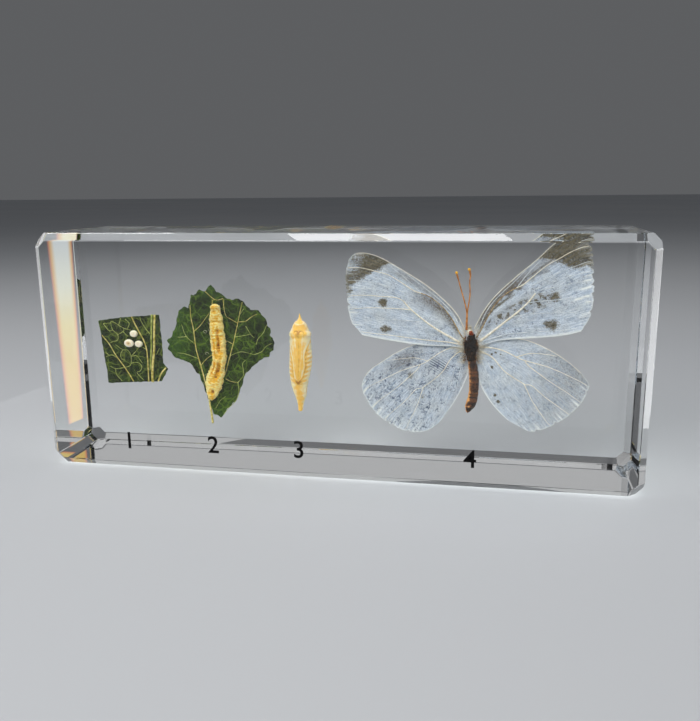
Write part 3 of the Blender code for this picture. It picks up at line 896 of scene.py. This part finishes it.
def wings():
    """The four spread wings, drawn from the middle of the thorax."""
    left_patch = profile([(0.0, -1.0), (0.66, -0.12), (0.72, 0.03), (0.81, 0.21), (0.90, 0.33), (1.0, 0.42)])
    upper_vein = profile([(0.0, 0.56), (0.07, 0.36), (0.14, 0.23), (0.23, 0.14), (0.34, 0.12), (0.43, 0.15),
                          (0.6, 0.16), (1.0, 0.19)])
    right_patch = profile([(0.0, -1.0), (0.64, -0.12), (0.71, 0.05), (0.74, 0.18), (0.87, 0.36), (1.0, 0.40)])

    def left_fore(u, v, x, z):
        wobble = 0.05 * grain(x * 0.5, z * 0.5, 3)
        soot = 0.92 * smooth_step(-0.05, 0.06, left_patch(u) - v + wobble)
        soot -= 0.38 * smooth_step(0.85, 0.97, u) * (1 - smooth_step(0.18, 0.34, v))
        soot += 0.75 * smooth_step(0.93, 0.98, u) * bell(v, 0.45, 0.05)
        spot = 1 - smooth_step(0.3, 1.35, math.hypot(x + 16.1, z - 7.6) + 0.2 * grain(x, z, 5))
        slant = math.hypot((x + 15.5) * 0.75 + (z - 2.7) * 0.45, (z - 2.7) * 1.1 - (x + 15.5) * 0.3)
        smudge = 1 - smooth_step(0.3, 1.5, slant + 0.35 * grain(x * 1.3, z * 1.3, 6))
        soot = max(soot, 0.95 * spot, 0.8 * smudge)
        below = v - upper_vein(u)
        wedge = smooth_step(-0.01, 0.02, below) * (1 - smooth_step(0.05, 0.30, below))
        wedge *= (1 - smooth_step(0.34, 0.56, u)) * smooth_step(0.02, 0.08, u)
        costal = 0.62 * (1 - smooth_step(0.08, 0.14, v + 0.02 * grain(x, z, 9)))
        costal *= 1 - 0.5 * smooth_step(0.5, 0.75, u)
        dusk = max(wedge, costal)
        mottle = 0.12 + 0.45 * blotches(x, z, 1.5, 0.1, 40) * (1 - v)
        mottle += 0.6 * bell(u, 0.2, 0.15) * bell(v, 0.8, 0.2)
        return {"soot": max(0.0, soot), "mottle": mottle, "dusk": dusk}

    def right_fore(u, v, x, z):
        wobble = 0.05 * grain(x * 0.5, z * 0.5, 13)
        soot = 0.85 * smooth_step(-0.05, 0.07, right_patch(u) - v + wobble)
        spot = 1 - smooth_step(0.3, 1.4, math.hypot(x - 14.2, z - 9.0) + 0.25 * grain(x, z, 15))
        low_spot = 1 - smooth_step(0.4, 1.6, math.hypot((x - 13.8) * 0.8, z - 4.1) + 0.4 * grain(x, z, 16))
        small = 1 - smooth_step(0.15, 0.6, math.hypot(x - 10.4, z - 10.5) + 0.2 * grain(x, z, 17))
        along_cell = bell(v, 0.42 + 0.12 * u, 0.13) * smooth_step(0.06, 0.16, u)
        along_cell *= 1 - smooth_step(0.6, 0.78, u)
        scatter = 0.85 * along_cell * blotches(x, z, 1.1, 0.16, 50)
        streak = 0.8 * bell(v, 0.17 + 0.12 * u, 0.035) * smooth_step(0.03, 0.1, u)
        streak *= 1 - smooth_step(0.3, 0.5, u)
        stripe = 0.7 * bell(v, 0.12, 0.012) * smooth_step(0.4, 0.5, u) * (1 - smooth_step(0.78, 0.85, u))
        soot = max(soot, 0.85 * spot, 0.85 * low_spot, 0.6 * small, scatter, streak, stripe)
        band = upper_vein(u) + 0.05 * grain(x, z, 19)
        costal = 1.15 * (1 - smooth_step(band, band + 0.05, v)) * (1 - 0.55 * smooth_step(0.42, 0.62, u))
        dusk = max(costal, 0.35 * along_cell)
        mottle = 0.18 + 0.5 * blotches(x, z, 1.4, 0.12, 60) * (1 - smooth_step(0.5, 0.9, v))
        mottle += 0.75 * bell(v, 0.84, 0.10) * bell(u, 0.30, 0.15)
        return {"soot": max(0.0, soot), "mottle": mottle, "dusk": dusk}

    def left_hind(u, v, x, z):
        cloud = blotches(x, z, 1.8, 0.22, 70)
        purple = bell(u, 0.55, 0.16) * bell(v, 0.12, 0.11)
        patch = 0.6 * (1 - smooth_step(0.4, 1.1, math.hypot(x + 11.1, z + 6.0) + 0.4 * grain(x, z, 71)))
        low_patch = 0.35 * (1 - smooth_step(0.5, 1.4, math.hypot(x + 9.2, z + 10.0) + 0.4 * grain(x, z, 73)))
        comb = smooth_step(-7.8, -7.1, x) * (1 - smooth_step(-4.3, -3.7, x))
        comb *= bell(z, -3.8 - 0.2 * (x + 5.6), 1.1)
        fold = 0.45 * smooth_step(0.80, 0.92, v) * (1 - smooth_step(0.7, 0.9, u))
        nick = 0.8 * bell(u, 0.93, 0.04) * bell(v, 0.985, 0.02)
        mottle = min(1.0, 0.25 + 0.75 * cloud) * (1 - 0.7 * smooth_step(0.8, 0.9, v))
        dusk = max(0.75 * purple, fold * 0.6, 0.10)
        return {"soot": max(patch, low_patch, nick), "mottle": mottle, "dusk": dusk, "comb": comb}

    def right_hind(u, v, x, z):
        outer = 0.4 * bell(u, 0.85, 0.12) * bell(v, 0.06, 0.08)
        grey = 0.62 * smooth_step(0.3, 0.9, u) * (1 - v) ** 0.8
        dots = 0.0
        for dot_x, dot_z, size in ((4.5, -9.1, 0.30), (5.1, -10.3, 0.38), (3.7, -1.5, 0.25), (3.8, -3.9, 0.3),
                                   (4.4, -1.2, 0.2), (5.3, -1.5, 0.16)):
            dots = max(dots, 1 - smooth_step(size * 0.5, size * 1.3, math.hypot(x - dot_x, z - dot_z)))
        mottle = 0.10 + 0.35 * blotches(x, z, 1.6, 0.08, 80)
        return {"soot": 0.95 * dots, "mottle": mottle, "dusk": max(outer, grey)}

    wing("left_forewing",
         wing_skin([(-1.2, 3.0), (-2.7, 5.7), (-4.8, 8.0), (-7.9, 10.6), (-11.0, 12.6), (-14.4, 14.6),
                    (-17.0, 15.9), (-19.4, 16.5), (-21.2, 16.4)],
                   [(-21.2, 16.4), (-22.3, 15.2), (-22.9, 12.4), (-22.7, 9.2), (-22.4, 5.8), (-21.7, 3.5),
                    (-20.7, 2.5), (-19.9, 1.5)],
                   [(-1.4, -0.5), (-4.0, -0.2), (-7.5, -0.2), (-10.3, 0.0), (-14.1, 0.5), (-17.4, 1.0),
                    (-19.9, 1.5)]),
         left_fore, fore_veins(CREAM), WING_DEPTH - 0.25, 0.5,
         [(0.36, 0.008, 0.02), (0.44, 0.01, 0.025), (0.52, 0.007, 0.02), (0.60, 0.012, 0.02)], 1.0)
    wing("right_forewing",
         wing_skin([(0.5, 3.2), (2.3, 6.7), (4.5, 9.6), (7.6, 12.6), (10.8, 15.4), (13.3, 17.9), (15.3, 19.2),
                    (16.8, 19.5)],
                   [(16.8, 19.5), (18.6, 19.2), (19.8, 17.9), (20.3, 15.7), (20.6, 12.4), (20.7, 9.1),
                    (20.4, 6.3), (20.0, 5.0), (18.9, 3.1)],
                   [(1.0, -0.3), (3.0, 0.5), (5.6, 1.2), (8.6, 1.5), (13.3, 1.9), (16.4, 2.4), (18.9, 3.1)]),
         right_fore, fore_veins(PALE), WING_DEPTH - 0.25, 0.4,
         [(0.30, 0.010, 0.03), (0.38, 0.008, 0.04), (0.45, 0.010, 0.03), (0.54, 0.007, 0.035),
          (0.62, 0.010, 0.02)], 2.0, 0.08,
         gleams=[(0.49, 0.010, 0.91), (0.555, 0.010, 0.88), (0.635, 0.012, 0.83), (0.69, 0.008, 0.92)])
    wing("left_hindwing",
         wing_skin([(-1.3, 0.2), (-5.5, 0.6), (-9.1, 0.15), (-11.4, -0.6), (-13.7, -1.8), (-16.1, -3.4),
                    (-18.3, -5.0), (-19.6, -6.6)],
                   [(-19.6, -6.6), (-20.1, -8.4), (-19.5, -10.4), (-18.0, -12.8), (-15.7, -14.9),
                    (-12.8, -16.4), (-10.4, -16.9), (-8.0, -16.5), (-5.9, -15.1), (-4.3, -13.0)],
                   [(-0.7, -2.2), (-0.4, -4.8), (-1.3, -7.6), (-2.8, -10.6), (-4.3, -13.0)]),
         left_hind, hind_veins(CREAM, 0.72), WING_DEPTH + 0.25, 0.3,
         [(0.5, 0.012, 0.015), (0.63, 0.01, 0.02), (0.97, 0.012, 0.035)], 3.0)
    wing("right_hindwing",
         wing_skin([(1.2, -0.2), (2.8, 0.5), (5.6, 1.2), (8.7, 1.35), (11.4, 0.6), (14.4, -0.8), (17.3, -2.7),
                    (19.5, -4.6)],
                   [(19.5, -4.6), (20.7, -6.3), (20.8, -7.2), (20.0, -9.3), (18.6, -11.4), (16.3, -13.4),
                    (13.6, -15.0), (11.3, -15.7), (9.7, -15.2), (6.8, -13.6)],
                   [(1.0, -2.4), (1.2, -4.6), (1.9, -7.4), (3.3, -9.8), (4.9, -11.8), (6.8, -13.6)]),
         right_hind, hind_veins(CREAM), WING_DEPTH + 0.25, 0.3,
         [(0.55, 0.01, 0.015), (0.72, 0.012, 0.02), (0.86, 0.01, 0.02)], 4.0)


def body():
    """Head, thorax and abdomen, with the down at the wing roots."""
    coats = [THORAX_COAT, ABDOMEN_SKIN, EYE, GOLD_DOWN, CREAM_DOWN]
    thorax_coat, abdomen_skin, eye, gold_down, cream_down = range(len(coats))
    bm = bmesh.new()
    shade_and_tone_layer = bm.verts.layers.float.new("deep")
    bm.loops.layers.uv.new("skin")

    def lump(x, z, wide, tall, deep, y, roughness, material, seed):
        """A rounded part of the body."""
        def shape(vert, u, v):
            out = on_ball(math.pi * u, 2 * math.pi * v)
            coarse = 1 + roughness * noise.fractal(out * 2.6 + Vector((seed, 0, 0)), 1.0, 2.0, 4)
            vert.co = place(x + wide * out.x * coarse, z + tall * out.z * coarse, y + deep * out.y * coarse)
            vert[shade_and_tone_layer] = 0.4
        add_rolled(bm, 36, 40, shape, material)

    lump(25.0, 23.9, 1.12, 1.95, 1.25, -0.55, 0.26, thorax_coat, 1.0)
    lump(25.1, 22.0, 0.86, 1.00, 1.0, -0.3, 0.24, thorax_coat, 2.0)
    lump(24.7, 26.45, 0.58, 0.62, 0.66, -0.4, 0.10, cream_down, 3.0)
    lump(24.85, 26.4, 0.36, 0.42, 0.36, -0.85, 0.14, eye, 4.0)
    lump(25.1, 26.2, 0.30, 0.34, 0.32, -0.55, 0.10, eye, 5.0)

    spine = smooth_line([(25.15, 22.0), (25.35, 20.4), (25.6, 18.6), (25.68, 16.4), (25.55, 14.6),
                         (25.2, 13.1), (24.8, 12.0), (24.55, 11.4)], 160)
    half_width = profile([(0.0, 0.65), (0.15, 0.82), (0.35, 0.88), (0.6, 0.86), (0.8, 0.95), (0.88, 0.88),
                          (0.95, 0.5), (1.0, 0.18)])

    def abdomen(vert, u, v):
        x, z = on_line(spine, u)
        turn = 2 * math.pi * v
        cap = blunt_ends(u, 0.02, 0.02)
        rings = abs(math.sin(math.pi * 8.5 * u)) ** 0.5
        width = half_width(u) * cap * (0.95 + 0.06 * rings)
        crinkle = grain(x * 1.8, z * 2.4, math.sin(turn), 4)
        side = math.cos(turn)
        vert.co = place(x + side * width * (1 + 0.06 * crinkle), z - 0.15 * side * (u - 0.5),
                        -0.1 - math.sin(turn) * 0.85 * width * (1 + 0.08 * crinkle))
        # Painted light: the left side, towards the key lamp, is painted pale and the right left dark, raised
        # rings and crinkles get painted highlight, and spot is a painted highlight on the dark tip.
        lit_left_side = smooth_step(0.35, 0.95, -side + 0.25 * crinkle)
        spot = bell(u, 0.87, 0.03) * bell(side, -0.25, 0.25)
        vert[shade_and_tone_layer] = 0.95 - 0.75 * lit_left_side - 0.35 * crinkle - 0.25 * rings - 0.7 * spot
    add_rolled(bm, 170, 56, abdomen, abdomen_skin)

    gold, cream = [], []
    for _ in range(170):
        turn = random.uniform(0, 2 * math.pi)
        climb = random.uniform(0.15, 0.95) * math.pi
        out = on_ball(climb, turn)
        out.y = -abs(out.y)
        root = place(THORAX.x + 1.05 * out.x, 23.6 + 2.3 * out.z, -0.5 + 1.1 * out.y)
        sweep = Vector((out.x, 0.4 * out.y, out.z * 0.4 - random.uniform(0.1, 0.7))).normalized()
        length = random.uniform(0.25, 0.6) * MM
        gold.append([root, root + sweep * length * 0.5, root + (sweep + Vector((0, 0.1, -0.25))) * length])
    for _ in range(460):
        side = random.choice((-1, 1))
        z = random.uniform(20.6, 27.2)
        reach = random.uniform(0.4, 1.5) * (0.6 if z > 25.6 else 1.0)
        if 22.4 < z < 24.8:
            reach *= 1.8
        root = place(THORAX.x + side * random.uniform(0.95, 1.2), z, random.uniform(-0.55, 0.2))
        drop = random.uniform(-0.6, 0.35) + (0.5 if z > 25.5 else 0.0)
        tip = root + Vector((side * reach, random.uniform(-0.15, 0.15), drop)) * MM
        middle = (root + tip) / 2 + Vector((0, -0.08, 0.12)) * MM
        cream.append([root, middle, tip])
    for _ in range(220):
        side = random.choice((-1, 1))
        root = place(THORAX.x + side * random.uniform(0.8, 1.0), random.uniform(21.2, 25.8),
                     random.uniform(-1.0, -0.5))
        spread = random.uniform(0.2, 0.7)
        tip = root + Vector((side * spread, random.uniform(-0.1, 0.1), random.uniform(-0.7, 0.1))) * MM
        gold.append([root, (root + tip) / 2 + Vector((side * 0.05, 0, 0.04)) * MM, tip])
    for _ in range(110):
        root = place(24.55 + random.uniform(-0.35, 0.4), 26.9 + random.uniform(-0.2, 0.3),
                     random.uniform(-0.9, -0.1))
        tip = root + Vector((random.uniform(-0.3, 0.35), random.uniform(-0.3, 0.1),
                             random.uniform(0.4, 1.0))) * MM
        cream.append([root, (root + tip) / 2, tip])
    add_hairs(bm, gold, 0.024, gold_down)
    add_hairs(bm, cream, 0.02, cream_down)
    finished_piece(bm, "butterfly_body", coats)


def antenna(name, points):
    """A thin jointed shaft that thickens into a club, its blunt end bright."""
    line = [place(x, z, y) for x, z, y in smooth_line([(x, z, -0.9) for x, z in points], 90)]
    bm = bmesh.new()
    bm.loops.layers.uv.new("shaft")

    def thickness(share):
        joints = 1 + 0.10 * math.sin(share * 2 * math.pi * 34)
        return (0.13 - 0.03 * share + 0.08 * smooth_step(0.86, 0.97, share)) * joints
    add_tube(bm, line, thickness, 10, 0)
    tip, before = line[-1], line[-4]
    way = (tip - before).normalized()
    club = [tip - way * 0.1 * MM + way * 0.07 * MM * step for step in range(8)]
    add_tube(bm, club, lambda share: 0.26 * math.sqrt(max(0.05, 1 - (2 * share - 1) ** 2)), 12, 1)
    finished_piece(bm, name, [ANTENNA, ANTENNA_TIP])


# ---------------------------------------------------------------- block and print

def numeral(text, x, base, tall):
    """A plain stage number printed on the block's front face."""
    font = bpy.data.curves.new("stage_" + text, "FONT")
    font.body = text
    font.size = tall / 0.72 * MM
    font.align_x = "CENTER"
    font.resolution_u = 6
    font.extrude = 0.01 * MM
    font.offset = 0.05 * MM
    carrier = bpy.data.objects.new("stage_" + text, font)
    mesh = bpy.data.meshes.new_from_object(carrier)
    bpy.data.objects.remove(carrier)
    stand = Matrix.Rotation(math.radians(90), 4, "X")
    spot = Vector((BLOCK_MIDDLE.x + x * MM, BLOCK_LOW.y - PRINT_PROUD * MM, BLOCK_LOW.z + base * MM))
    mesh.transform(Matrix.Translation(spot) @ stand)
    bm = bmesh.new()
    bm.from_mesh(mesh)
    bpy.data.meshes.remove(mesh)
    bmesh.ops.remove_doubles(bm, verts=bm.verts[:], dist=1e-7)
    bmesh.ops.recalc_face_normals(bm, faces=bm.faces[:])
    finished_piece(bm, "stage_number_" + text, [INK], smooth=False)


# ---------------------------------------------------------------- studio

def rainbow_card(lamp):
    """A slim card close behind the block's left end. It faces away from the camera and shows only in the
    inner wall there, as a bar that is pale above, golden below and orange along its edges."""
    tall, wide = 0.050, 0.0094
    run, away = Vector((-0.174, 0.985, 0)), Vector((-0.985, -0.174, 0))
    where = Vector((BLOCK_LOW.x + 0.012, BLOCK_HIGH.y + 0.001, tall / 2)) + run * (0.0043 + wide / 2)
    card = lamp("rainbow_card", where, where + away, wide, tall, 1.0, False)
    card.use_nodes = True
    tree = card.node_tree
    glow = tree.nodes["Emission"]
    spot = tree.nodes.new("ShaderNodeNewGeometry").outputs["Parametric"]
    split = tree.nodes.new("ShaderNodeSeparateXYZ")
    tree.links.new(spot, split.inputs[0])

    def ramp(source, stops):
        made = tree.nodes.new("ShaderNodeValToRGB")
        while len(made.color_ramp.elements) < len(stops):
            made.color_ramp.elements.new(0.5)
        for element, (position, colour) in zip(made.color_ramp.elements, stops):
            element.position = position
            element.color = colour
        tree.links.new(source, made.inputs["Fac"])
        return made.outputs["Color"]
    height = ramp(split.outputs["Y"], [(0.0, (0.44, 0.26, 0.0, 1)), (0.25, (0.45, 0.29, 0.0, 1)),
                                       (0.45, (0.48, 0.40, 0.12, 1)), (0.62, (0.46, 0.47, 0.36, 1)),
                                       (0.85, (0.46, 0.50, 0.52, 1))])
    edges = [((0.0, 0.27), (1.0, 0.05)), ((0.0, 0.80), (1.0, 0.94))]
    bounds = []
    for (low, at_foot), (high, at_head) in edges:
        edge = tree.nodes.new("ShaderNodeMapRange")
        edge.inputs["To Min"].default_value = at_foot
        edge.inputs["To Max"].default_value = at_head
        tree.links.new(split.outputs["Y"], edge.inputs["Value"])
        bounds.append(edge.outputs["Result"])
    taper = tree.nodes.new("ShaderNodeMapRange")
    tree.links.new(split.outputs["X"], taper.inputs["Value"])
    tree.links.new(bounds[0], taper.inputs["From Min"])
    tree.links.new(bounds[1], taper.inputs["From Max"])
    black, ember, amber, white = (0, 0, 0, 1), (0.55, 0.08, 0.02, 1), (1.0, 0.55, 0.14, 1), (1, 1, 1, 1)
    sides = ramp(taper.outputs["Result"], [(0.0, black), (0.03, ember), (0.12, amber), (0.26, white),
                                           (0.80, white), (0.92, amber), (0.98, ember), (1.0, black)])
    both = tree.nodes.new("ShaderNodeMix")
    both.data_type = "RGBA"
    both.blend_type = "MULTIPLY"
    both.inputs[0].default_value = 1.0
    tree.links.new(height, both.inputs[6])
    tree.links.new(sides, both.inputs[7])
    tree.links.new(both.outputs[2], glow.inputs["Color"])


def studio():
    """A pale floor, soft lamps and the camera."""
    bm = bmesh.new()
    bmesh.ops.create_grid(bm, x_segments=1, y_segments=1, size=4.0)
    floor_mesh = bpy.data.meshes.new("studio_floor")
    bm.to_mesh(floor_mesh)
    bm.free()
    floor = bpy.data.objects.new("studio_floor", floor_mesh)
    floor.location.z = BLOCK_LOW.z - 0.05 * MM
    bpy.context.scene.collection.objects.link(floor)
    finish = Finish("studio_floor", Roughness=0.75, Specular_IOR_Level=0.2)
    tone = finish.noise(finish.space(stretch=(1, 1, 1)), 3.0, 2.0)
    floor_mesh.materials.append(finish.wear(
        Base_Color=finish.blend(finish.ramp(tone, 0.3, 0.7), paint(196, 199, 203), paint(202, 204, 207))))

    world = bpy.data.worlds.new("studio")
    world.use_nodes = True
    backdrop = world.node_tree.nodes["Background"]
    backdrop.inputs["Color"].default_value = (0.11, 0.113, 0.118, 1)
    backdrop.inputs["Strength"].default_value = 1.0
    bpy.context.scene.world = world

    def lamp(name, where, aim, wide, tall, glow, lights_specimens=True, seen_through=True, seen_on=True):
        """A soft panel, glow bright, never seen directly. Cards light nothing, and show in the resin's faces:
        seen_through them after crossing the resin, and seen_on them as a reflection from outside."""
        light = bpy.data.lights.new(name, "AREA")
        light.shape = "RECTANGLE"
        light.size, light.size_y = wide, tall
        light.energy = glow * math.pi * wide * tall
        holder = bpy.data.objects.new(name, light)
        holder.location = where
        holder.rotation_euler = (Vector(where) - Vector(aim)).to_track_quat("Z", "Y").to_euler()
        holder.visible_camera = False
        holder.visible_diffuse = lights_specimens
        holder.visible_transmission = seen_through
        holder.visible_glossy = seen_on
        bpy.context.scene.collection.objects.link(holder)
        return light

    middle = (0, 0, 0.02)
    lamp("front_softbox", (-0.12, -0.34, 0.36), middle, 0.34, 0.30, 5.4, seen_through=False)
    lamp("top_softbox", (0.0, 0.05, 0.45), middle, 0.45, 0.14, 3.0, seen_through=False)
    lamp("top_strip", (-0.02, -0.03, 0.30), middle, 0.50, 0.06, 9.0, False, seen_through=False)
    lamp("top_glow", (-0.02, -0.06, 0.29), middle, 0.50, 0.30, 0.34, False, seen_on=False)
    lamp("back_softbox", (-0.05, 0.80, 0.26), middle, 0.9, 0.20, 0.30, False)
    lamp("left_card", (-0.095, 0.012, 0.03), (0, 0, 0.03), 0.06, 0.06, 1.0, False, seen_through=False)
    lamp("right_card", (0.095, -0.005, 0.03), (0, 0, 0.03), 0.06, 0.06, 4.0, False, seen_through=False)
    rainbow_card(lamp)

    camera_data = bpy.data.cameras.new("camera")
    camera_data.lens = 38.41
    camera_data.sensor_width = 36
    camera_data.clip_start = 0.01
    camera = bpy.data.objects.new("camera", camera_data)
    camera.location = (0.0298, -0.14233, 0.05209)
    turned, raised, rolled = math.radians(11.145), math.radians(12.696), math.radians(-0.622)
    camera.rotation_euler = (Matrix.Rotation(turned, 3, "Z") @ Matrix.Rotation(math.pi / 2 - raised, 3, "X")
                             @ Matrix.Rotation(rolled, 3, "Z")).to_euler()
    bpy.context.scene.collection.objects.link(camera)
    bpy.context.scene.camera = camera
    bpy.context.scene.view_settings.view_transform = "Standard"


studio()
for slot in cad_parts["resin_block"].material_slots:
    slot.material = RESIN

leaf_surface = cut_leaf_square()
egg("egg_upper", -40.2, 24.6, 1.60, 1.36, leaf_surface, 0.15)
egg("egg_left", -41.3, 22.7, 2.00, 1.56, leaf_surface, 0.75)
egg("egg_right", -39.3, 22.6, 1.62, 1.30, leaf_surface, 0.15)
larva(whole_leaf())
pupa()
wings()
body()
antenna("left_antenna", [(24.05, 26.9), (24.1, 29.0), (24.1, 30.1), (23.7, 31.9), (23.0, 34.2), (22.6, 35.6),
                         (22.2, 37.0)])
antenna("right_antenna", [(24.2, 26.9), (24.2, 29.0), (24.2, 30.1), (24.5, 32.3), (24.6, 33.7), (24.5, 35.5),
                          (24.6, 36.7), (24.4, 37.6)])
for text, x in (("1", -38.4), ("2", -21.6), ("3", -5.2), ("4", 25.6)):
    numeral(text, x, 4.1, 3.3)
